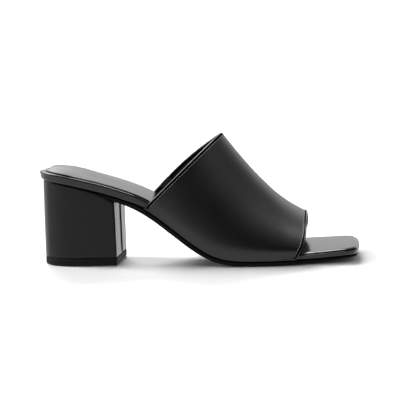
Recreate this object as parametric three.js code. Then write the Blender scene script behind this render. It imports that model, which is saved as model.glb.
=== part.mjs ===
// A black slide sandal on a block heel: one wide band over a wrapped footbed, open at the toe and back.
// It is a right shoe. Millimetres, with +X to the toe, +Y to the inner side of the foot and +Z up.

import * as THREE from 'three';

// Driving sizes of the last
const shoeLength = 240;
const seatWidth = 60;
const waistWidth = 54;
const ballWidth = 85;
const toeWidth = 73;
const seatRound = 33;
const toeCornerRadius = 9;
const toeFrontBow = 2;
const heelHeight = 65;
const treadEnd = 176;
const toeSpring = 2.6;
const toeSpringCurve = 1.6;
const toeStart = 204;
const instepHeight = 90;

// Driving sizes of the pieces
const gap = 0.3;
const outsoleThickness = 3.2;
const outsoleToeThickness = 1.8;
const outsoleInset = 1.1;
const outsoleBlend = 9;
const outsoleEdgeRound = 0.6;
const skiveLength = 12;
const skiveEndThickness = 0.7;
const footbedSeatThickness = 7;
const footbedToeThickness = 3.6;
const footbedThinStart = 101;
const footbedThinEnd = 163;
const footbedEdgeRound = 1.5;
const sockThickness = 1.7;
const sockInset = 2.2;
const sockBackInset = 4.2;
const sockCrown = 3.4;
const bandWall = 1.8;
const bandTuck = 2;
const bandTuckHeight = 9;
const bandPeak = 139;
const bandBackCorner = 82;
const bandInnerBackCorner = 75.5;
const bandFrontCrown = 202;
const bandFrontCorner = 194;
const bandFrontBow = 3;
const innerToplineBow = 5;
const innerToplineSkew = 1.25;
const innerToplineShare = 0.2;
const goreWidth = 8.5;
const goreDepth = 22;
const goreThickness = 1.2;
const goreShare = 0.857;
const heelBreast = 60;
const heelSideInset = 2.3;
const heelBackInset = 2.1;
const heelBottomWidth = 51;
const heelBackLean = -1;
const heelCornerRadius = 1.5;
const liftThickness = 6;
const liftEdgeRound = 1.5;

// Height of the joint between outsole and footbed, from the seat down to the flat tread, as a share of
// the way from the tread up to the heel height.
const joint = [
  { along: 0.0, height: 1.0 },
  { along: 0.085, height: 0.958 },
  { along: 0.17, height: 0.88 },
  { along: 0.25, height: 0.786 },
  { along: 0.33, height: 0.664 },
  { along: 0.42, height: 0.424 },
  { along: 0.5, height: 0.19 },
  { along: 0.56, height: 0.058 },
  { along: 0.61, height: 0.013 },
  { along: 0.66, height: 0.0 },
  { along: 0.73, height: 0.0 },
];

// Widths of the footbed: where along the shoe, how wide, and the share that lies on the outer side.
const widthTable = [
  { along: 0.14, width: seatWidth, outer: 0.5 },
  { along: 0.25, width: 0.955 * seatWidth, outer: 0.515 },
  { along: 0.36, width: waistWidth, outer: 0.56 },
  { along: 0.47, width: 0.79 * ballWidth, outer: 0.54 },
  { along: 0.58, width: 0.94 * ballWidth, outer: 0.515 },
  { along: 0.7, width: ballWidth, outer: 0.505 },
  { along: 0.8, width: 0.985 * ballWidth, outer: 0.5 },
  { along: 0.86, width: 0.955 * ballWidth, outer: 0.495 },
  { along: 0.93, width: 1.045 * toeWidth, outer: 0.49 },
  { along: 0.97, width: toeWidth, outer: 0.49 },
  { along: 1.0, width: 0.985 * toeWidth, outer: 0.49 },
];

// Sections of the band: rise of the crown over the sole as a share of the instep height, shift of the
// ridge to the inner side as a share of the ball width, and how far the sides and the shoulders hold out.
const sectionTable = [
  { along: 0.3, rise: 1.45, ridge: 0.03, side: 0.36, shoulder: 0.56 },
  { along: 0.45, rise: 1.28, ridge: 0.045, side: 0.38, shoulder: 0.58 },
  { along: 0.58, rise: 1.0, ridge: 0.055, side: 0.42, shoulder: 0.62 },
  { along: 0.64, rise: 0.81, ridge: 0.06, side: 0.44, shoulder: 0.62 },
  { along: 0.7, rise: 0.625, ridge: 0.06, side: 0.47, shoulder: 0.63 },
  { along: 0.76, rise: 0.47, ridge: 0.055, side: 0.52, shoulder: 0.65 },
  { along: 0.82, rise: 0.358, ridge: 0.05, side: 0.57, shoulder: 0.67 },
  { along: 0.9, rise: 0.242, ridge: 0.045, side: 0.6, shoulder: 0.7 },
];

// The sock is padded: how thick its edge is and how high its middle is domed, as shares of the full sizes.
const sockTable = [
  { along: 0.0, edge: 0.95, crown: 0.0 },
  { along: 0.04, edge: 0.95, crown: 0.75 },
  { along: 0.11, edge: 0.8, crown: 1.0 },
  { along: 0.22, edge: 0.5, crown: 0.35 },
  { along: 0.35, edge: 0.35, crown: 0.05 },
  { along: 0.7, edge: 0.9, crown: 0.15 },
  { along: 0.85, edge: 1.0, crown: 0.2 },
  { along: 1.0, edge: 1.0, crown: 0.0 },
];

// Edges of the footbed and the sock from the underside up: share of the thickness, and share of the
// round that the edge is drawn in by.
const footbedProfile = [
  { height: 0.0, inset: 1.5 },
  { height: 0.08, inset: 0.65 },
  { height: 0.22, inset: 0.2 },
  { height: 0.42, inset: 0.0 },
  { height: 0.7, inset: 0.0 },
  { height: 0.93, inset: 0.3 },
  { height: 1.0, inset: 1.0 },
];
const sockProfile = [
  { height: 0.0, inset: 0.0 },
  { height: 0.45, inset: 0.0 },
  { height: 0.85, inset: 0.35 },
  { height: 1.0, inset: 1.0 },
];

// How finely the curved faces are divided
const rowStep = 7.5;
const roundSteps = 5;
const heelCornerSteps = 3;
const crossSteps = 6;
const bandSteps = 18;
const halfBandSteps = 16;
const columnCrowding = 1.35;
const goreSteps = 4;
const notchSteps = 4;

const skiveStart = heelBreast - skiveLength;

function smoothstep(from, to, value) {
  const share = Math.min(1, Math.max(0, (value - from) / (to - from)));
  return share * share * (3 - 2 * share);
}

// A smooth curve through the rows of a table, level at each high or low row, read at a place.
function readTable(table, column, x) {
  const at = (row) => row.along * shoeLength;
  let k = 0;
  while (k < table.length - 2 && x > at(table[k + 1])) k += 1;
  const rise = (n) => (table[n + 1][column] - table[n][column]) / (at(table[n + 1]) - at(table[n]));
  const slope = (n) => {
    const before = rise(Math.max(0, n - 1));
    const after = rise(Math.min(table.length - 2, n));
    return before * after > 0 ? (2 * before * after) / (before + after) : 0;
  };
  const span = at(table[k + 1]) - at(table[k]);
  const s = Math.min(1, Math.max(0, (x - at(table[k])) / span));
  const start = table[k][column] * (2 * s ** 3 - 3 * s ** 2 + 1);
  const end = table[k + 1][column] * (3 * s ** 2 - 2 * s ** 3);
  const leave = slope(k) * span * (s ** 3 - 2 * s ** 2 + s);
  const arrive = slope(k + 1) * span * (s ** 3 - s ** 2);
  return start + end + leave + arrive;
}

// The joint rises again past the tread, by the toe spring.
function jointHeight(x) {
  const fall = heelHeight - outsoleThickness;
  if (x <= treadEnd) return outsoleThickness + fall * readTable(joint, 'height', x);
  const share = (x - treadEnd) / (shoeLength - treadEnd);
  return outsoleThickness + toeSpring * share ** toeSpringCurve;
}

function jointSlope(x) {
  const step = 0.05;
  return (jointHeight(x + step) - jointHeight(x - step)) / (2 * step);
}

// A point of the sole: along the joint, across the shoe, and square off the joint.
function solePoint(x, y, height) {
  const tilt = Math.atan(jointSlope(x));
  return new THREE.Vector3(x - height * Math.sin(tilt), y, jointHeight(x) + height * Math.cos(tilt));
}

// Half widths of the footbed on the outer (-1) and inner (+1) side, with the round seat and toe corners.
function halfWidth(x, side) {
  const width = readTable(widthTable, 'width', x);
  const outer = readTable(widthTable, 'outer', x);
  const half = width * (side < 0 ? outer : 1 - outer);
  if (x < seatRound) return half * Math.sqrt(Math.max(0, 1 - (1 - x / seatRound) ** 2));
  const cornerStart = shoeLength - toeCornerRadius;
  if (x <= cornerStart) return half;
  const run = Math.min(toeCornerRadius, x - cornerStart);
  return half - toeCornerRadius + Math.sqrt(toeCornerRadius ** 2 - run ** 2);
}

// The front edge is bowed, and more so on the outer toes.
function bowToe(x, y) {
  const share = Math.abs(y) / (toeWidth / 2);
  const bend = toeFrontBow * share ** 2;
  return x - bend * smoothstep(toeStart, shoeLength, x);
}

// The plan of a piece as a grid: rows from back to front, columns from the outer to the inner side.
function planGrid(backStart, xs, half, frontBow) {
  const rows = xs.map((x, n) => {
    const outer = -half(x, -1);
    const inner = half(x, 1);
    const row = [];
    for (let c = 0; c <= crossSteps; c += 1) {
      const y = outer + (inner - outer) * (c / crossSteps);
      const back = n === 0 && y !== outer && y !== inner;
      row.push({ x: back ? backStart(y) : x, y });
    }
    return row;
  });
  for (const row of rows) for (const point of row) point.x = frontBow(point.x, point.y);
  return rows;
}

// The edge of a grid as one loop, anticlockwise from above, as row and column numbers.
function edgeLoop(rows) {
  const last = rows.length - 1;
  const loop = [];
  for (let r = 0; r <= last; r += 1) loop.push([r, 0]);
  for (let c = 1; c <= crossSteps; c += 1) loop.push([last, c]);
  for (let r = last - 1; r >= 0; r -= 1) loop.push([r, crossSteps]);
  for (let c = crossSteps - 1; c >= 1; c -= 1) loop.push([0, c]);
  return loop;
}

// A closed piece built up from the grid: each ring is the grid's edge drawn in by an inset at a height,
// from the underside to the top, and the first and last rings are closed across.
function stackRings(rows, rings, place, crown = () => 0) {
  const loop = edgeLoop(rows);
  const count = loop.length;
  const edge = loop.map(([r, c]) => rows[r][c]);
  const normals = edge.map((point, n) => {
    const before = edge[(n + count - 1) % count];
    const after = edge[(n + 1) % count];
    return new THREE.Vector2(after.y - before.y, before.x - after.x).normalize();
  });
  const vertices = [];
  const triangles = [];
  const ringStarts = rings.map((ring) => {
    const start = vertices.length;
    edge.forEach((point, n) => {
      const inset = ring.inset(point.x, point.y);
      const x = point.x - normals[n].x * inset;
      const y = point.y - normals[n].y * inset;
      vertices.push(place(x, y, ring.height(x)));
    });
    return start;
  });
  for (let k = 0; k + 1 < rings.length; k += 1) {
    for (let n = 0; n < count; n += 1) {
      const next = (n + 1) % count;
      const [a, b] = [ringStarts[k] + n, ringStarts[k] + next];
      const [c, d] = [ringStarts[k + 1] + next, ringStarts[k + 1] + n];
      triangles.push(a, b, c, a, c, d);
    }
  }
  const close = (start, up) => {
    const numbers = rows.map(() => new Array(crossSteps + 1));
    loop.forEach(([r, c], n) => {
      numbers[r][c] = start + n;
    });
    for (let r = 1; r < rows.length - 1; r += 1) {
      const outer = vertices[numbers[r][0]];
      const inner = vertices[numbers[r][crossSteps]];
      for (let c = 1; c < crossSteps; c += 1) {
        const point = outer.clone().lerp(inner, c / crossSteps);
        if (up) point.z += crown(point.x) * (1 - (1 - (2 * c) / crossSteps) ** 2);
        numbers[r][c] = vertices.length;
        vertices.push(point);
      }
    }
    for (let r = 0; r + 1 < rows.length; r += 1) {
      for (let c = 0; c < crossSteps; c += 1) {
        const [a, b] = [numbers[r][c], numbers[r + 1][c]];
        const [d, e] = [numbers[r + 1][c + 1], numbers[r][c + 1]];
        if (up) triangles.push(a, b, d, a, d, e);
        else triangles.push(a, d, b, a, e, d);
      }
    }
  };
  close(ringStarts[0], false);
  close(ringStarts[rings.length - 1], true);
  return solid(vertices, triangles);
}

function solid(vertices, triangles) {
  const geometry = new THREE.BufferGeometry();
  geometry.setFromPoints(vertices);
  geometry.setIndex(triangles);
  geometry.computeVertexNormals();
  return geometry;
}

// Rows of the whole sole: close together round the seat and the toe corners, even between them.
function soleRows(from) {
  const xs = [];
  for (let n = 1; n <= roundSteps; n += 1) {
    xs.push(seatRound * (1 - Math.cos((n / (roundSteps + 1)) * (Math.PI / 2))));
  }
  const cornerStart = shoeLength - toeCornerRadius;
  const count = Math.round((cornerStart - seatRound) / rowStep);
  for (let n = 0; n < count; n += 1) xs.push(seatRound + ((cornerStart - seatRound) * n) / count);
  for (let n = 0; n <= roundSteps; n += 1) {
    xs.push(cornerStart + toeCornerRadius * Math.sin((n / roundSteps) * (Math.PI / 2)));
  }
  if (from === undefined) return xs;
  return [from, ...xs.filter((x) => x > from + rowStep / 3)];
}

// The back edge of the seat, worked out from how far across it lies.
function seatBack(y) {
  const share = Math.min(1, Math.abs(y) / (seatWidth / 2));
  return seatRound * (1 - Math.sqrt(1 - share ** 2));
}

const solePlan = planGrid(seatBack, soleRows(), halfWidth, bowToe);

function footbedThickness(x) {
  const share = smoothstep(footbedThinStart, footbedThinEnd, x);
  return footbedSeatThickness + (footbedToeThickness - footbedSeatThickness) * share;
}

function makeFootbed() {
  const rings = footbedProfile.map((ring) => ({
    inset: () => ring.inset * footbedEdgeRound,
    height: (x) => ring.height * footbedThickness(x),
  }));
  return stackRings(solePlan, rings, solePoint);
}

function makeSock() {
  const edgeInset = (x) => sockInset + (sockBackInset - sockInset) * (1 - smoothstep(0, seatRound, x));
  const edge = (x) => sockThickness * readTable(sockTable, 'edge', x);
  const rings = sockProfile.map((ring) => ({
    inset: (x) => edgeInset(x) + ring.inset * sockThickness,
    height: (x) => footbedThickness(x) + gap + ring.height * edge(x),
  }));
  const crown = (x) => sockCrown * readTable(sockTable, 'crown', x);
  return stackRings(solePlan, rings, solePoint, crown);
}

// The outsole reaches out under the band's wall and stays in under the bare footbed edge.
function outsoleEdge(x) {
  const reach = smoothstep(bandBackCorner - outsoleBlend, bandBackCorner, x);
  const end = smoothstep(bandFrontCorner - outsoleBlend / 2, bandFrontCorner + outsoleBlend / 2, x);
  return outsoleInset - (reach - end) * (outsoleInset + bandWall + gap);
}

// Thickness of the outsole, thinned to its skived back end and to the toe
function outsoleDepth(x) {
  const skive = smoothstep(skiveStart, heelBreast, x);
  const toe = smoothstep(toeStart, shoeLength, x);
  const thinned = (outsoleThickness - outsoleToeThickness) * toe;
  return skiveEndThickness + (outsoleThickness - skiveEndThickness) * skive - thinned;
}

function makeOutsole() {
  const plan = planGrid(() => skiveStart, soleRows(skiveStart), halfWidth, bowToe);
  const round = outsoleEdgeRound;
  const rings = [
    { inset: (x) => outsoleEdge(x) + round, height: (x) => -outsoleDepth(x) },
    { inset: (x) => outsoleEdge(x), height: (x) => -outsoleDepth(x) + round / 2 },
    { inset: (x) => outsoleEdge(x), height: () => -gap },
  ];
  return stackRings(plan, rings, solePoint);
}

// The outer face of the band: across a section, -1 is the outer foot, 0 the crown and 1 the inner foot.
// Above the sole the wall swells out past its foot by the tuck.
function bandPoint(x, across) {
  const side = across < 0 ? -1 : 1;
  const ridge = readTable(sectionTable, 'ridge', x) * ballWidth;
  const rise = readTable(sectionTable, 'rise', x) * instepHeight;
  const hold = readTable(sectionTable, 'side', x);
  const shoulder = readTable(sectionTable, 'shoulder', x);
  const foot = halfWidth(x, side) + gap + bandWall + bandTuck - side * ridge;
  const s = 1 - Math.abs(across);
  const weights = [(1 - s) ** 3, 3 * s * (1 - s) ** 2, 3 * s ** 2 * (1 - s), s ** 3];
  const z = rise * (hold * weights[1] + weights[2] + weights[3]);
  const tuck = bandTuck * (1 - smoothstep(0, bandTuckHeight, z));
  const y = foot * (weights[0] + weights[1] + shoulder * weights[2]) - tuck;
  return new THREE.Vector3(x, ridge + side * y, jointHeight(x) + gap + z);
}

function bandNormal(x, across) {
  const step = 0.002;
  const lower = Math.max(-1, across - step);
  const upper = Math.min(1, across + step);
  const along = bandPoint(x + 0.5, across).sub(bandPoint(x - 0.5, across));
  const round = bandPoint(x, upper).sub(bandPoint(x, lower));
  return along.cross(round).normalize();
}

// A point under the band's outer face. What stands on the sole stays a gap above it.
function underBand(x, across, depth) {
  const point = bandPoint(x, across).addScaledVector(bandNormal(x, across), -depth);
  point.z = Math.max(point.z, jointHeight(point.x) + gap);
  return point;
}

// Where a column of the band crosses an edge that is drawn in side view.
function crossing(across, edgeX, from, to) {
  let [low, high] = [from, to];
  for (let n = 0; n < 40; n += 1) {
    const middle = (low + high) / 2;
    const before = middle < edgeX(bandPoint(middle, across).z, across);
    if (before) low = middle;
    else high = middle;
  }
  return (low + high) / 2;
}

const peakHeight = bandPoint(bandPeak, 0).z;
const backCornerHeight = bandPoint(bandBackCorner, -1).z;
const frontCrownHeight = bandPoint(bandFrontCrown, 0).z;
const frontCornerHeight = bandPoint(bandFrontCorner, -1).z;

function toplineX(z, across) {
  const share = (z - backCornerHeight) / (peakHeight - backCornerHeight);
  const bow = Math.sin(Math.PI * Math.min(1, Math.max(0, share)) ** innerToplineSkew);
  const inner = smoothstep(0, innerToplineShare, across);
  const corner = bandBackCorner + inner * (bandInnerBackCorner - bandBackCorner);
  return corner + (bandPeak - corner) * share - inner * innerToplineBow * bow;
}

function frontEdgeX(z) {
  const rise = (z - frontCornerHeight) / (frontCrownHeight - frontCornerHeight);
  const share = Math.min(1, Math.max(0, rise));
  const bow = bandFrontBow * Math.sin(Math.PI * share);
  return bandFrontCorner + (bandFrontCrown - bandFrontCorner) * share + bow;
}

function toplineStart(across) {
  return crossing(across, toplineX, sectionTable[0].along * shoeLength, bandFrontCorner);
}

function frontEnd(across) {
  return crossing(across, frontEdgeX, bandBackCorner, shoeLength);
}

// The elastic gore sits in a notch of the topline on the inner side. Its columns are found from its width.
function goreColumns() {
  const step = 0.01;
  const middle = bandPoint(toplineStart(goreShare), goreShare);
  const beside = bandPoint(toplineStart(goreShare + step), goreShare + step);
  const half = ((goreWidth / 2) * step) / middle.distanceTo(beside);
  return { low: goreShare - half, high: goreShare + half, seam: (gap / goreWidth) * 2 * half };
}

const gore = goreColumns();

// A wall of even thickness over a grid of columns and rows. Quads that a cut takes are left out, and every
// free edge is closed between the outer and the inner face.
function wallSheet(columns, rows, rowX, depth, thickness, cut = () => false) {
  const vertices = [];
  const triangles = [];
  const numbers = new Map();
  const number = (c, r, face) => {
    const key = `${c} ${r} ${face}`;
    if (!numbers.has(key)) {
      numbers.set(key, vertices.length);
      vertices.push(underBand(rowX(columns[c], r), columns[c], depth + face * thickness));
    }
    return numbers.get(key);
  };
  const kept = (c, r) => c >= 0 && c + 1 < columns.length && r >= 0 && r < rows && !cut(c, r);
  const quad = (...corners) => {
    const [a, b, c, d] = corners.map((corner) => number(...corner));
    triangles.push(a, b, c, a, c, d);
  };
  for (let c = 0; c + 1 < columns.length; c += 1) {
    for (let r = 0; r < rows; r += 1) {
      if (!kept(c, r)) continue;
      quad([c, r, 0], [c, r + 1, 0], [c + 1, r + 1, 0], [c + 1, r, 0]);
      quad([c, r, 1], [c + 1, r, 1], [c + 1, r + 1, 1], [c, r + 1, 1]);
      if (!kept(c, r - 1)) quad([c, r, 0], [c + 1, r, 0], [c + 1, r, 1], [c, r, 1]);
      if (!kept(c, r + 1)) quad([c + 1, r + 1, 0], [c, r + 1, 0], [c, r + 1, 1], [c + 1, r + 1, 1]);
      if (!kept(c - 1, r)) quad([c, r + 1, 0], [c, r, 0], [c, r, 1], [c, r + 1, 1]);
      if (!kept(c + 1, r)) quad([c + 1, r, 0], [c + 1, r + 1, 0], [c + 1, r + 1, 1], [c + 1, r, 1]);
    }
  }
  return solid(vertices, triangles);
}

// The rows behind the notch's end are even, and so are those down to the front edge.
function makeUpper() {
  const columns = [];
  const clear = (gore.high - gore.low) / 4;
  for (let n = -halfBandSteps; n <= halfBandSteps; n += 1) {
    const across = Math.sign(n) * (1 - (1 - Math.abs(n) / halfBandSteps) ** columnCrowding);
    if (across < gore.low - clear || across > gore.high + clear) columns.push(across);
  }
  columns.push(gore.low, goreShare, gore.high);
  columns.sort((a, b) => a - b);
  const rowX = (across, r) => {
    const start = toplineStart(across);
    if (r <= notchSteps) return start + (goreDepth * r) / notchSteps;
    const share = (r - notchSteps) / (bandSteps - notchSteps);
    return start + goreDepth + (frontEnd(across) - start - goreDepth) * share;
  };
  const cut = (c, r) => r < notchSteps && columns[c] >= gore.low && columns[c] < gore.high;
  return wallSheet(columns, bandSteps, rowX, 0, bandWall, cut);
}

function makeGore() {
  const columns = [];
  const start = gore.low + gore.seam;
  const end = gore.high - gore.seam;
  for (let n = 0; n <= goreSteps; n += 1) columns.push(start + ((end - start) * n) / goreSteps);
  const rowX = (across, r) => toplineStart(across) + ((goreDepth - gap) * r) / notchSteps;
  return wallSheet(columns, notchSteps, rowX, (bandWall - goreThickness) / 2, goreThickness);
}

// The heel block follows the seat, drawn in at its sides, up to a flat breast with small round corners.
function heelHalf(x, side) {
  const half = halfWidth(x, side) - heelSideInset * smoothstep(0, seatRound, x);
  const start = heelBreast - heelCornerRadius;
  if (x <= start) return half;
  const run = Math.min(heelCornerRadius, x - start);
  return half - heelCornerRadius + Math.sqrt(heelCornerRadius ** 2 - run ** 2);
}

function heelPlan() {
  const corner = heelBreast - heelCornerRadius;
  const xs = soleRows().filter((x) => x < corner - heelCornerRadius);
  for (let n = 0; n <= heelCornerSteps; n += 1) {
    xs.push(corner + heelCornerRadius * Math.sin((n / heelCornerSteps) * (Math.PI / 2)));
  }
  return planGrid(seatBack, xs, heelHalf, (x) => x);
}

// Drawing in with height: the sides lean in to the bottom width and the back leans by a little.
function heelPlace(x, y, z) {
  const fall = 1 - z / heelHeight;
  const narrow = 1 - fall * (1 - heelBottomWidth / (seatWidth - 2 * heelSideInset));
  const back = heelBackLean * fall * (1 - x / heelBreast);
  return new THREE.Vector3(x + back, y * narrow, z);
}

function heelEdge(x) {
  return heelBackInset * (1 - smoothstep(0, seatRound, x));
}

function heelTop(x) {
  const sole = x < skiveStart - 2 * gap ? 0 : outsoleDepth(x);
  return jointHeight(x) - (sole + gap) * Math.hypot(1, jointSlope(x));
}

function makeHeel() {
  const rings = [
    { inset: heelEdge, height: () => liftThickness + gap },
    { inset: heelEdge, height: (x) => 0.5 * heelTop(x) },
    { inset: heelEdge, height: (x) => heelTop(x) },
  ];
  return stackRings(heelPlan(), rings, heelPlace);
}

function makeLift() {
  const rings = [
    { inset: (x) => heelEdge(x) + liftEdgeRound, height: () => 0 },
    { inset: (x) => heelEdge(x) + 0.3 * liftEdgeRound, height: () => 0.3 * liftEdgeRound },
    { inset: heelEdge, height: () => liftEdgeRound },
    { inset: heelEdge, height: () => liftThickness },
  ];
  return stackRings(heelPlan(), rings, heelPlace);
}

// Finishes
const blackLeather = new THREE.MeshStandardMaterial({ color: 0x151515, roughness: 0.4, metalness: 0 });
const wrapLeather = new THREE.MeshStandardMaterial({ color: 0x1c1b1c, roughness: 0.45, metalness: 0 });
const sockLeather = new THREE.MeshStandardMaterial({ color: 0x2b2b2c, roughness: 0.35, metalness: 0 });
const elastic = new THREE.MeshStandardMaterial({ color: 0x111111, roughness: 0.85, metalness: 0 });
const soleRubber = new THREE.MeshStandardMaterial({ color: 0x231f1c, roughness: 0.7, metalness: 0 });
const liftRubber = new THREE.MeshStandardMaterial({ color: 0x121212, roughness: 0.8, metalness: 0 });

const shoe = new THREE.Group();
function add(name, geometry, material) {
  const mesh = new THREE.Mesh(geometry, material);
  mesh.name = name;
  shoe.add(mesh);
}

add('outsole', makeOutsole(), soleRubber);
add('footbed', makeFootbed(), wrapLeather);
add('sock', makeSock(), sockLeather);
add('upper', makeUpper(), blackLeather);
add('elastic_gore', makeGore(), elastic);
add('heel', makeHeel(), blackLeather);
add('top_lift', makeLift(), liftRubber);

// The origin is under the middle of the shoe, on the floor.
const bounds = new THREE.Box3().setFromObject(shoe);
const middle = bounds.getCenter(new THREE.Vector3());
shoe.position.set(-middle.x, -middle.y, -bounds.min.z);

export default shoe;
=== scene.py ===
"""A black slide sandal on a block heel, on a white studio floor."""

import math

import bmesh
import bpy
from mathutils import Matrix, Vector
from mathutils.bvhtree import BVHTree


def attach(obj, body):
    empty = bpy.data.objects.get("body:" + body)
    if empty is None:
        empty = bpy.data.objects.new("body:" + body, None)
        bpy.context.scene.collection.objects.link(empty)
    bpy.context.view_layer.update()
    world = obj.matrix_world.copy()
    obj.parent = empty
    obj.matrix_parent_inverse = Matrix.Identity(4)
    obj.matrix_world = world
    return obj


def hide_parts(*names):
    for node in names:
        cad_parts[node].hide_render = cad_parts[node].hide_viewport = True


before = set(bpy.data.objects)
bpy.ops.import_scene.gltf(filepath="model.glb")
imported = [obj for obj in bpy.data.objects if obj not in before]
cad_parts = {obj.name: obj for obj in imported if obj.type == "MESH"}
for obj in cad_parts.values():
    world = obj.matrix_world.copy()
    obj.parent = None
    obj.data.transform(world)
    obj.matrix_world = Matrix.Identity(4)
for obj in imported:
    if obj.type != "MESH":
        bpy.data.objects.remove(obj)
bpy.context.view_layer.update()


# Studio
# The camera stands low on the shoe's outer side with a long lens, a little turned, and the picture is
# rolled so that upright edges lean left. It looks at a point just ahead of the shoe's middle.
aim = Vector((0.0013, 0.0, 0.0451))
camera_azimuth = math.radians(5.925)
camera_elevation = math.radians(6.15)
camera_roll = math.radians(2.243)
camera_distance = 1.0074
lens_length = 119.9
film_width = 36
turn = (
    Matrix.Rotation(camera_azimuth, 4, "Z")
    @ Matrix.Rotation(math.pi / 2 - camera_elevation, 4, "X")
    @ Matrix.Rotation(-camera_roll, 4, "Z")
)
camera_data = bpy.data.cameras.new("camera")
camera_data.sensor_width = film_width
camera_data.lens = lens_length
camera = bpy.data.objects.new("camera", camera_data)
camera.matrix_world = Matrix.Translation(aim + turn.col[2].to_3d() * camera_distance) @ turn
bpy.context.scene.collection.objects.link(camera)
bpy.context.scene.camera = camera
bpy.context.scene.view_settings.view_transform = "Standard"


class Value:
    """An output of a node. A sum written on it adds Math nodes, and node() adds any other node."""

    def __init__(self, tree, made=None, output=0):
        self.tree = tree
        self.made = made
        self.output = output

    def __getitem__(self, output):
        return Value(self.tree, self.made, output)

    def feed(self, socket):
        self.tree.links.new(self.made.outputs[self.output], socket)

    def node(self, kind, settings=None, sockets=None):
        """Adds a node: its settings first, then the values or links of its sockets."""
        made = self.tree.nodes.new(kind)
        for key, setting in (settings or {}).items():
            setattr(made, key, setting)
        for key, value in (sockets or {}).items():
            if isinstance(value, Value):
                value.feed(made.inputs[key])
            elif made.inputs[key].type == "RGBA":
                made.inputs[key].default_value = (*value, 1)
            else:
                made.inputs[key].default_value = value
        return Value(self.tree, made)

    def sum(self, operation, first, second):
        return self.node("ShaderNodeMath", {"operation": operation}, {0: first, 1: second})

    def __add__(self, other):
        return self.sum("ADD", self, other)

    def __radd__(self, other):
        return self.sum("ADD", other, self)

    def __sub__(self, other):
        return self.sum("SUBTRACT", self, other)

    def __rsub__(self, other):
        return self.sum("SUBTRACT", other, self)

    def __mul__(self, other):
        return self.sum("MULTIPLY", self, other)

    def __rmul__(self, other):
        return self.sum("MULTIPLY", other, self)

    def __truediv__(self, other):
        return self.sum("DIVIDE", self, other)

    def __rtruediv__(self, other):
        return self.sum("DIVIDE", other, self)

    def at_least(self, other):
        return self.sum("MAXIMUM", self, other)

    def rise(self, start, end):
        """Rises from 0 where the value is at the start to 1 where it is at the end."""
        return self.sum("MINIMUM", (self - start) / (end - start), 1.0).at_least(0.0)


# The room is white behind and beside the shoe, and dark at the height of the camera. What surfaces
# mirror of it and its fill light are set apart, so that the fill doesn't change the shine.
dark_side = 0.02
wall_glow = 0.72
high_wall_glow = 0.9
high_left_glow = 2.0
high_right_loss = 1.3
ceiling_glow = 0.65
near_floor_glow = 0.95
far_floor_glow = 0.75
far_right_glow = 1.0
far_left_loss = 0.3
floor_tilt = 0.25
fill_light = 0.4
backdrop_light = 1.05
white = (1, 1, 1)
world = bpy.data.worlds.new("room")
world.use_nodes = True
world.node_tree.nodes.clear()
bpy.context.scene.world = world
room = Value(world.node_tree)
toward = room.node("ShaderNodeTexCoord")["Generated"]
axes = room.node("ShaderNodeSeparateXYZ", {}, {0: toward})
beside = axes["Y"].rise(-0.1, 0.45)
right_side = axes["X"].rise(0.0, 0.5)
left_side = axes["X"].rise(0.0, -0.5)
climb = axes["Z"].rise(0.1, 0.45)
high_wall = climb * climb * (high_wall_glow + left_side * high_left_glow - right_side * high_right_loss)
behind = beside * (wall_glow + high_wall)
overhead = axes["Z"].rise(0.4, 0.9) * ceiling_glow
near_floor = (axes["Z"] + axes["X"] * floor_tilt).rise(0.03, -0.17) * near_floor_glow
far_glow = far_floor_glow + right_side * far_right_glow - left_side * far_left_loss
far_floor = axes["Z"].rise(0.0, -0.02) * far_glow
below = near_floor * (1.0 - beside) + far_floor * beside
mirrored = dark_side + behind.at_least(overhead).at_least(below)
shine = room.node("ShaderNodeBackground", {}, {"Color": white, "Strength": mirrored})
fill = room.node("ShaderNodeBackground", {}, {"Color": white, "Strength": fill_light})
backdrop = room.node("ShaderNodeBackground", {}, {"Color": white, "Strength": backdrop_light})
paths = room.node("ShaderNodeLightPath")
unseen = room.node("ShaderNodeMixShader", {}, {0: paths["Is Diffuse Ray"], 1: shine, 2: fill})
mixed = room.node("ShaderNodeMixShader", {}, {0: paths["Is Camera Ray"], 1: unseen, 2: backdrop})
room.node("ShaderNodeOutputWorld", {}, {"Surface": mixed})
sun_width = math.radians(28)


def soft_sun(name, direction, energy):
    """A wide far light that lights the floor and the dull surfaces, and doesn't show as a shine."""
    light = bpy.data.lights.new(name, "SUN")
    light.energy = energy
    light.angle = sun_width
    lamp = bpy.data.objects.new(name, light)
    lamp.rotation_mode = "QUATERNION"
    lamp.rotation_quaternion = Vector(direction).to_track_quat("Z", "Y")
    lamp.visible_glossy = False
    bpy.context.scene.collection.objects.link(lamp)


soft_sun("back_sun", (-0.15, 0.85, 0.5), 3.9)
soft_sun("side_sun", (-0.9, 0.25, 0.45), 4.2)


def softbox(name, direction, distance, size, radiance):
    """A flat light that hangs in a direction from the shoe, faces it, and only shows as a shine."""
    light = bpy.data.lights.new(name, "AREA")
    light.shape = "RECTANGLE"
    light.size, light.size_y = size
    light.energy = radiance * math.pi * size[0] * size[1]
    lamp = bpy.data.objects.new(name, light)
    away = Vector(direction).normalized()
    lamp.location = aim + away * distance
    lamp.rotation_mode = "QUATERNION"
    lamp.rotation_quaternion = away.to_track_quat("Z", "Y")
    lamp.visible_diffuse = False
    bpy.context.scene.collection.objects.link(lamp)


softbox("top_light", (0.0, 0.05, 1.0), 1.1, (0.45, 0.9), 22.0)
softbox("left_light", (-0.6, 0.2, 0.8), 1.2, (0.6, 1.0), 9.0)
softbox("right_light", (0.96, -0.2, 0.1), 1.2, (0.3, 0.5), 0.8)

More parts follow.
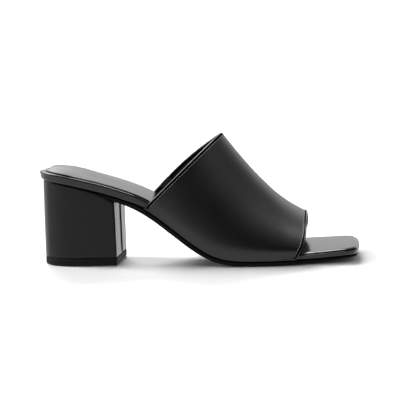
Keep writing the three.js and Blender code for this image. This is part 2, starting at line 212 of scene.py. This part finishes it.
floor_size = 8
floor_white = (0.93, 0.93, 0.93, 1)
bpy.ops.object.select_all(action="DESELECT")
bpy.ops.mesh.primitive_plane_add(size=floor_size, location=(0, 0, 0))
floor = bpy.context.active_object
floor.name = "floor"
floor.visible_glossy = False
floor_paint = bpy.data.materials.new("floor_paint")
floor_paint.use_nodes = True
floor_shader = floor_paint.node_tree.nodes["Principled BSDF"]
floor_shader.inputs["Base Color"].default_value = floor_white
floor_shader.inputs["Roughness"].default_value = 0.9
floor_shader.inputs["Specular IOR Level"].default_value = 0.1
floor.data.materials.append(floor_paint)


# Outsole
# A thin brown-black rubber sole, cut to the last, skived thin at its back end and at the toe. It is
# glued under the footbed, and the band's sides are lasted down on its edge.
def in_quads(name, piece_name):
    """A merged copy of a solid, in quads, alone, selected and in edit mode."""
    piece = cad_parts[name].copy()
    piece.data = piece.data.copy()
    piece.name = piece_name
    bpy.context.scene.collection.objects.link(piece)
    bpy.ops.object.select_all(action="DESELECT")
    piece.select_set(True)
    bpy.context.view_layer.objects.active = piece
    bpy.ops.mesh.customdata_custom_splitnormals_clear()
    bpy.ops.object.mode_set(mode="EDIT")
    bpy.ops.mesh.select_mode(type="VERT")
    bpy.ops.mesh.select_all(action="SELECT")
    bpy.ops.mesh.remove_doubles(threshold=1e-5)
    bpy.ops.mesh.tris_convert_to_quads(
        face_threshold=math.radians(60), shape_threshold=math.radians(100), topology_influence=1.4
    )
    bpy.ops.mesh.faces_shade_smooth()
    bpy.ops.mesh.select_mode(type="EDGE")
    bpy.ops.mesh.mark_sharp(clear=True)
    bpy.ops.mesh.select_all(action="DESELECT")
    return piece


def round_edges(angle, width, segments=2):
    """Rounds the edges of the mesh in edit mode that are sharper than an angle."""
    bpy.ops.mesh.select_all(action="DESELECT")
    bpy.ops.mesh.edges_select_sharp(sharpness=math.radians(angle))
    bpy.ops.mesh.bevel(offset=width, segments=segments, affect="EDGES")


def smooth(piece):
    """Leaves edit mode and gives the piece its fine surface."""
    bpy.ops.object.mode_set(mode="OBJECT")
    modifier = piece.modifiers.new("fine", "SUBSURF")
    modifier.levels = modifier.render_levels = 2
    bpy.ops.object.modifier_apply(modifier="fine")


def fit(piece, name, finish):
    """Dresses a piece in its finish and sets it in the place of a solid."""
    piece.data.materials.clear()
    piece.data.materials.append(finish)
    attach(piece, "root")
    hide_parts(name)


def new_finish(name):
    """An empty material, the place over its surface, and its shader."""
    finish = bpy.data.materials.new(name)
    finish.use_nodes = True
    place = Value(finish.node_tree).node("ShaderNodeTexCoord")["Object"]
    return finish, place, finish.node_tree.nodes["Principled BSDF"]


def rubber(name, color, grit, roughness=0.75, shine=0.2):
    """Matt moulded rubber with a fine grit and scattered dull patches."""
    finish, place, shader = new_finish(name)
    patches = place.node("ShaderNodeTexNoise", {}, {"Vector": place, "Scale": 60.0, "Detail": 3.0})
    grains = place.node("ShaderNodeTexNoise", {}, {"Vector": place, "Scale": grit, "Detail": 2.0})
    light = tuple(1.7 * part for part in color)
    tint = place.node("ShaderNodeMix", {"data_type": "RGBA"}, {0: patches, 6: color, 7: light})
    bump = place.node("ShaderNodeBump", {}, {"Strength": 0.25, "Distance": 0.0002, "Height": grains})
    tint[2].feed(shader.inputs["Base Color"])
    (roughness - 0.1 + patches * 0.2).feed(shader.inputs["Roughness"])
    bump.feed(shader.inputs["Normal"])
    shader.inputs["Specular IOR Level"].default_value = shine
    return finish


sole_edge = 0.0004
sole_rubber = rubber("sole_rubber", (0.004, 0.003, 0.0024), 2500.0, shine=0.12)
outsole = in_quads("outsole", "sole")
round_edges(40, sole_edge)
smooth(outsole)
fit(outsole, "outsole", sole_rubber)


# Footbed
# An insole board with its edge wrapped in black leather. The leather ends in a small raised bead round
# the top, and at the heel end the wall leans out a little towards its top.
def leather(name, color, roughness, grain_size, grain_depth, shine=0.5):
    """Finished black leather: a fine pebbled grain, soft patches of shine and a faint bloom of colour."""
    finish, place, shader = new_finish(name)
    clouds = place.node("ShaderNodeTexNoise", {}, {"Vector": place, "Scale": 35.0, "Detail": 4.0})
    bent = place.node("ShaderNodeTexNoise", {}, {"Vector": place, "Scale": 0.7 / grain_size, "Detail": 1.0})
    shifted = place.node(
        "ShaderNodeVectorMath", {"operation": "MULTIPLY_ADD"}, {0: bent[1], 1: (grain_size,) * 3, 2: place}
    )
    pebbles = place.node("ShaderNodeTexVoronoi", {}, {"Vector": shifted, "Scale": 1.0 / grain_size})
    grain = 1.0 - pebbles["Distance"] * pebbles["Distance"]
    light = tuple(1.5 * part for part in color)
    tint = place.node("ShaderNodeMix", {"data_type": "RGBA"}, {0: clouds, 6: color, 7: light})
    bump = place.node("ShaderNodeBump", {}, {"Strength": 1.0, "Distance": grain_depth, "Height": grain})
    tint[2].feed(shader.inputs["Base Color"])
    (roughness - 0.06 + clouds * 0.12).feed(shader.inputs["Roughness"])
    bump.feed(shader.inputs["Normal"])
    shader.inputs["Specular IOR Level"].default_value = shine
    return finish


def faces_within(start, corner):
    """A face and all that join it, as far as the next corner."""
    found, waiting = {start}, [start]
    while waiting:
        for edge in waiting.pop().edges:
            if edge.calc_face_angle(0) < corner:
                fresh = set(edge.link_faces) - found
                found |= fresh
                waiting += fresh
    return found


def next_ring(faces):
    return {near for face in faces for edge in face.edges for near in edge.link_faces} - faces


wrap_leather = leather("wrap_leather", (0.004, 0.0037, 0.004), 0.15, 0.0005, 0.00001)
top_corner = math.radians(14)
bead_height = 0.0007
bottom_corner = 0.9
bottom_rounding = 0.0005
facing_down = -0.7
heel_start = -0.1
heel_blend = 0.02
heel_lean = 0.15
rand_middle = 0.0675
footbed = in_quads("footbed", "wrapped_footbed")
bpy.ops.mesh.select_mode(type="FACE")
footbed_mesh = bmesh.from_edit_mesh(footbed.data)
top_start = max(footbed_mesh.faces, key=lambda face: face.normal.z * face.calc_area())
for face in next_ring(faces_within(top_start, top_corner)):
    face.select = True
bmesh.update_edit_mesh(footbed.data)
bpy.ops.mesh.extrude_region_shrink_fatten(TRANSFORM_OT_shrink_fatten={"value": bead_height})
bpy.ops.mesh.select_mode(type="EDGE")
bpy.ops.mesh.select_all(action="DESELECT")
footbed_mesh = bmesh.from_edit_mesh(footbed.data)
for edge in footbed_mesh.edges:
    under = any(face.normal.z < facing_down for face in edge.link_faces)
    edge.select = under and edge.calc_face_angle(0) > bottom_corner
bmesh.update_edit_mesh(footbed.data)
bpy.ops.mesh.bevel(offset=bottom_rounding, segments=2, affect="EDGES")
footbed_mesh = bmesh.from_edit_mesh(footbed.data)
for vert in footbed_mesh.verts:
    back = min(1.0, max(0.0, (heel_start - vert.co.x) / heel_blend))
    vert.co.x -= back * heel_lean * (vert.co.z - rand_middle)
bmesh.update_edit_mesh(footbed.data)
smooth(footbed)
fit(footbed, "footbed", wrap_leather)


# Sock
# A padded inner cover of smooth glossy leather over thin foam, domed under the heel. It is glued on the
# footbed and set in from the bead.
sock_leather = leather("sock_leather", (0.014, 0.0135, 0.0125), 0.17, 0.0006, 0.000006)
sock_spread = 0.001
upright = 0.6
sock = in_quads("sock", "padded_sock")
sock_mesh = bmesh.from_edit_mesh(sock.data)
for vert in sock_mesh.verts:
    sides = [face.normal for face in vert.link_faces if abs(face.normal.z) < upright]
    if sides:
        outwards = sum(sides, Vector())
        outwards.z = 0
        vert.co += outwards.normalized() * sock_spread
bmesh.update_edit_mesh(sock.data)
smooth(sock)
fit(sock, "sock", sock_leather)


# Upper
# One wide band of satin black leather over a thin leather lining. Its topline and its front edge are
# turned in, with a sunk groove beside the fold whose faces are painted near-black as painted shade, and
# its sides are lasted down on the sole.
def sheet_of(mesh, point):
    """The faces around the one nearest to a point, as far as the next sharp corner."""
    start = min(mesh.faces, key=lambda face: (face.calc_center_median() - point).length)
    return faces_within(start, sheet_corner)


def border_edges(faces):
    edges = [edge for face in faces for edge in face.edges]
    return [edge for edge in edges if sum(near in faces for near in edge.link_faces) == 1]


def points_of(part):
    return {vert.co.copy().freeze() for vert in part.verts}


def lasted_points(faces):
    """The ends of a sheet's border edges that are lasted down on the sole, and so face downwards."""
    points, free = set(), set()
    for edge in border_edges(faces):
        face = next(face for face in edge.link_faces if face in faces)
        along = (edge.verts[1].co - edge.verts[0].co).normalized()
        outwards = along.cross(face.normal)
        middle = (edge.verts[0].co + edge.verts[1].co) / 2
        if outwards.dot(middle - face.calc_center_median()) < 0:
            outwards.negate()
        if outwards.z < facing_sole and outwards.x < facing_toe and middle.z < lasted_height:
            points |= points_of(edge)
        else:
            free |= points_of(edge)
    return points - free


def inset_ring(piece, mesh, width, drop, lasted):
    """Insets the selected sheet. The new ring sinks by a drop, but stays flat and close at the sole."""
    bpy.ops.mesh.inset(thickness=width, depth=0)
    faces = {face for face in mesh.faces if face.select}
    ring = {vert for edge in border_edges(faces) for vert in edge.verts}
    still_lasted, places = set(), {}
    for vert in ring:
        rung = next((edge for edge in vert.link_edges if faces.isdisjoint(edge.link_faces)), None)
        origin = rung.other_vert(vert).co if rung else vert.co
        if origin.copy().freeze() in lasted:
            places[vert] = origin.lerp(vert.co, lasted_share)
            still_lasted.add(vert)
        else:
            places[vert] = vert.co - vert.normal * drop
    for vert, place in places.items():
        vert.co = place
    bmesh.update_edit_mesh(piece.data)
    return {vert.co.copy().freeze() for vert in still_lasted}, faces


def fold_in(piece, mesh, point, rings):
    """Insets rings in the sheet nearest to a point. Gives the faces within and their free edges."""
    bpy.ops.mesh.select_all(action="DESELECT")
    sheet = sheet_of(mesh, point)
    lasted = lasted_points(sheet)
    for face in sheet:
        face.select = True
    bmesh.update_edit_mesh(piece.data)
    for width, drop in rings:
        before = lasted
        lasted, sheet = inset_ring(piece, mesh, width, drop, before)
        edges = border_edges(sheet)
        # The faces beside a sunk ring get the near-black seam_shadow finish: painted shade in the groove.
        if drop:
            for face in {face for edge in edges for face in edge.link_faces} - sheet:
                if not points_of(face) & (before | lasted):
                    face.material_index = shadow_slot
    return sheet, [edge for edge in edges if not points_of(edge) & lasted]


band_leather = leather("band_leather", (0.003, 0.003, 0.0031), 0.3, 0.0006, 0.00003)
lining_leather = leather("lining_leather", (0.012, 0.011, 0.01), 0.55, 0.0006, 0.00003)
# A near-black matt finish for the groove faces beside the folds: painted shade, not a dark material.
seam_shadow = rubber("seam_shadow", (0.001, 0.001, 0.001), 4000.0, shine=0.0)
lining_slot = 1
shadow_slot = 2
sheet_corner = math.radians(50)
lasted_height = 0.054
lasted_share = 0.6
facing_sole = -0.6
facing_toe = 0.5
folded_edge = 0.0014
inner_fold = 0.9 * folded_edge
seam_width = 0.0003
seam_depth = 0.0004
stitch_margin = 0.0006
band_edge = 0.0011
outer_side = Vector((0.04, -0.2, 0.03))
inner_side = Vector((0.0, 0.0, 0.05))
outer_rings = ((folded_edge, 0), (seam_width, seam_depth), (seam_width, -seam_depth), (stitch_margin, 0))
inner_rings = ((inner_fold, 0), (seam_width, seam_depth))
upper = in_quads("upper", "band")
upper.data.materials.clear()
for finish in (band_leather, lining_leather, seam_shadow):
    upper.data.materials.append(finish)
bpy.ops.mesh.select_mode(type="FACE")
band_mesh = bmesh.from_edit_mesh(upper.data)
seam_edges = fold_in(upper, band_mesh, outer_side, outer_rings)[1]
seam_lines = [[vert.co.copy() for vert in edge.verts] for edge in seam_edges]
lining_sheet = fold_in(upper, band_mesh, inner_side, inner_rings)[0]
for face in lining_sheet:
    face.material_index = lining_slot
bmesh.update_edit_mesh(upper.data)
bpy.ops.mesh.select_mode(type="EDGE")
round_edges(50, band_edge, 4)
smooth(upper)
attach(upper, "root")
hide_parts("upper")


# Edge stitches
# The band's folded edges are sewn down in black thread, two and a half millimetres to a
# stitch. The thread is coloured dark grey rather than black: a painted sheen, so that the stitches
# show as light dashes. One stitch is modelled and copied along the seam line, on the leather.
def spot(point):
    """A point as a key, which lines that meet there share."""
    return tuple(round(part, 7) for part in point)


def chains(lines):
    """Joins short lines end to end into runs of points."""
    left = sorted(lines, key=lambda line: tuple(line[0] + line[1]))
    ends = {}
    for line in left:
        for end in line:
            ends.setdefault(spot(end), []).append(line)
    runs = []
    while left:
        line = next((line for line in left if any(len(ends[spot(end)]) == 1 for end in line)), left[0])
        run = [line[0] if len(ends[spot(line[0])]) == 1 else line[1]]
        while line is not None:
            left.remove(line)
            run.append(line[1] if (line[0] - run[-1]).length < 1e-7 else line[0])
            line = next((other for other in ends[spot(run[-1])] if other in left), None)
        runs.append(run)
    return runs


stitch_pitch = 0.0025
half_stitch = 0.42 * stitch_pitch
thread_radius = 0.0003
stitch_bend = 0.00012
stitch_rise = 0.00012
# The thread's dark grey colour is a painted sheen on black thread.
thread_with_painted_sheen = rubber("thread_with_painted_sheen", (0.12, 0.115, 0.11), 4000.0, roughness=0.35, shine=0.6)
bpy.ops.object.select_all(action="DESELECT")
bpy.ops.mesh.primitive_uv_sphere_add(segments=8, ring_count=6, radius=thread_radius)
stitch = bpy.context.active_object
bpy.ops.object.mode_set(mode="EDIT")
bpy.ops.mesh.select_all(action="SELECT")
bpy.ops.transform.rotate(value=math.pi / 2, orient_axis="Y", center_override=(0, 0, 0))
bpy.ops.transform.resize(value=(half_stitch / thread_radius, 1.0, 1.0), center_override=(0, 0, 0))
bpy.ops.mesh.faces_shade_smooth()
bpy.ops.object.mode_set(mode="OBJECT")
for vert in stitch.data.vertices:
    vert.co.z -= stitch_bend * (vert.co.x / half_stitch) ** 2
stitch.data.materials.append(thread_with_painted_sheen)

surface = bmesh.new()
surface.from_mesh(upper.data)
surface_tree = BVHTree.FromBMesh(surface)
surface.free()
stitches = []
for run in chains(seam_lines):
    lengths = [0.0]
    for start, end in zip(run, run[1:]):
        lengths.append(lengths[-1] + (end - start).length)
    count = int(lengths[-1] / stitch_pitch)
    for number in range(1, count):
        distance = (number + 0.5) * lengths[-1] / count
        at = max(index for index, length in enumerate(lengths[:-1]) if length <= distance)
        share = (distance - lengths[at]) / (lengths[at + 1] - lengths[at])
        place, normal = surface_tree.find_nearest(run[at].lerp(run[at + 1], share))[:2]
        across = normal.cross(run[at + 1] - run[at]).normalized()
        turned = Matrix((across.cross(normal), across, normal)).transposed().to_4x4()
        sewn = stitch.copy()
        sewn.data = stitch.data.copy()
        sewn.data.transform(Matrix.Translation(place + normal * stitch_rise) @ turned)
        bpy.context.scene.collection.objects.link(sewn)
        stitches.append(sewn)
bpy.data.objects.remove(stitch)
bpy.ops.object.select_all(action="DESELECT")
for sewn in stitches:
    sewn.select_set(True)
sewing = stitches[0]
bpy.context.view_layer.objects.active = sewing
bpy.ops.object.join()
sewing.name = "edge_stitches"
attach(sewing, "root")


# Elastic gore
# A strip of woven black elastic in the notch of the topline on the far side. It is sewn between the
# leather and the lining, so all its edges but the free one are tucked in.
gore_elastic, gore_place, gore_shader = new_finish("gore_elastic")
along_topline = (0.78, 0.0, 0.62)
rib_pitch = 0.0009
rib_depth = 0.0002
rib_count = gore_place.node(
    "ShaderNodeVectorMath", {"operation": "DOT_PRODUCT"}, {0: gore_place, 1: along_topline}
)["Value"] * (2 * math.pi / rib_pitch)
ribs = gore_place.node("ShaderNodeMath", {"operation": "SINE"}, {0: rib_count}) * 0.5 + 0.5
weft = gore_place.node("ShaderNodeTexNoise", {}, {"Vector": gore_place, "Scale": 3000.0, "Detail": 1.0})
# The elastic itself is black: the lighter colour on the rib crests is a painted sheen, and the darker
# colour in the grooves between them is painted shade.
rib_sheen_and_shade = gore_place.node(
    "ShaderNodeMix", {"data_type": "RGBA"}, {0: ribs, 6: (0.01, 0.01, 0.01), 7: (0.06, 0.058, 0.056)}
)
rib_bump = gore_place.node("ShaderNodeBump", {}, {"Distance": rib_depth, "Height": ribs + weft * 0.3})
rib_sheen_and_shade[2].feed(gore_shader.inputs["Base Color"])
(0.45 + weft * 0.2).feed(gore_shader.inputs["Roughness"])
rib_bump.feed(gore_shader.inputs["Normal"])
tuck = 0.0006
same_way = 0.7
elastic_edge = 0.0002
free_side = Vector((-0.6, -0.2, 0.77))
gore = in_quads("elastic_gore", "gore")
gore_mesh = bmesh.from_edit_mesh(gore.data)
moves = {}
for face in gore_mesh.faces:
    if abs(face.normal.y) < same_way and face.normal.dot(free_side) < same_way:
        for vert in face.verts:
            if all(face.normal.dot(other) < same_way for other in moves.setdefault(vert, [])):
                moves[vert].append(face.normal.copy())
for vert, normals in moves.items():
    for normal in normals:
        vert.co += normal * tuck
bmesh.update_edit_mesh(gore.data)
round_edges(40, elastic_edge)
smooth(gore)
fit(gore, "elastic_gore", gore_elastic)


# Heel
# A moulded block covered in satin black leather. The cover's two ends meet in a raised seam down the
# flat breast, which is a little uneven.
cover_leather = leather("cover_leather", (0.003, 0.0028, 0.0028), 0.2, 0.0005, 0.00001, shine=0.25)
heel_edge = 0.0006
breast = -0.0602
breast_depth = 0.0012
breast_rows = (0.014, 0.022, 0.03, 0.038, 0.046, 0.053)
seam_ridge = (
    (-0.0268, 0), (-0.0195, 0), (-0.0186, 0.0004), (-0.016, 0),
    (-0.0008, 0), (-0.0002, 0.001), (0.0018, 0.0005), (0.005, 0),
)
wave_height = 0.00012
short_wave = 0.0047
long_wave = 0.013
wave_slant = 90
heel = in_quads("heel", "heel_block")
round_edges(40, heel_edge)
bpy.ops.mesh.select_mode(type="FACE")
heel_mesh = bmesh.from_edit_mesh(heel.data)
cuts = [((0, across, 0), (0, 1, 0)) for across, _ in seam_ridge]
cuts += [((0, 0, height), (0, 0, 1)) for height in breast_rows]
for place, normal in cuts:
    bpy.ops.mesh.select_all(action="DESELECT")
    for face in heel_mesh.faces:
        face.select = all(vert.co.x > breast - breast_depth for vert in face.verts)
    bpy.ops.mesh.bisect(plane_co=place, plane_no=normal)
for vert in heel_mesh.verts:
    if vert.co.x > breast:
        ridge = sum(rise for across, rise in seam_ridge if abs(vert.co.y - across) < 1e-5)
        ripple = math.sin(vert.co.z / short_wave + wave_slant * vert.co.y)
        vert.co.x += ridge + wave_height * ripple * math.cos(vert.co.z / long_wave)
bmesh.update_edit_mesh(heel.data)
smooth(heel)
fit(heel, "heel", cover_leather)


# Top lift
# A black rubber lift with a fine grit, cut to the foot of the heel. It is nailed and glued under the
# block, and wears on the ground.
lift_rubber = rubber("lift_rubber", (0.004, 0.0037, 0.0034), 2200.0)
lift_edge = 0.0003
lift = in_quads("top_lift", "lift")
round_edges(40, lift_edge)
smooth(lift)
fit(lift, "top_lift", lift_rubber)
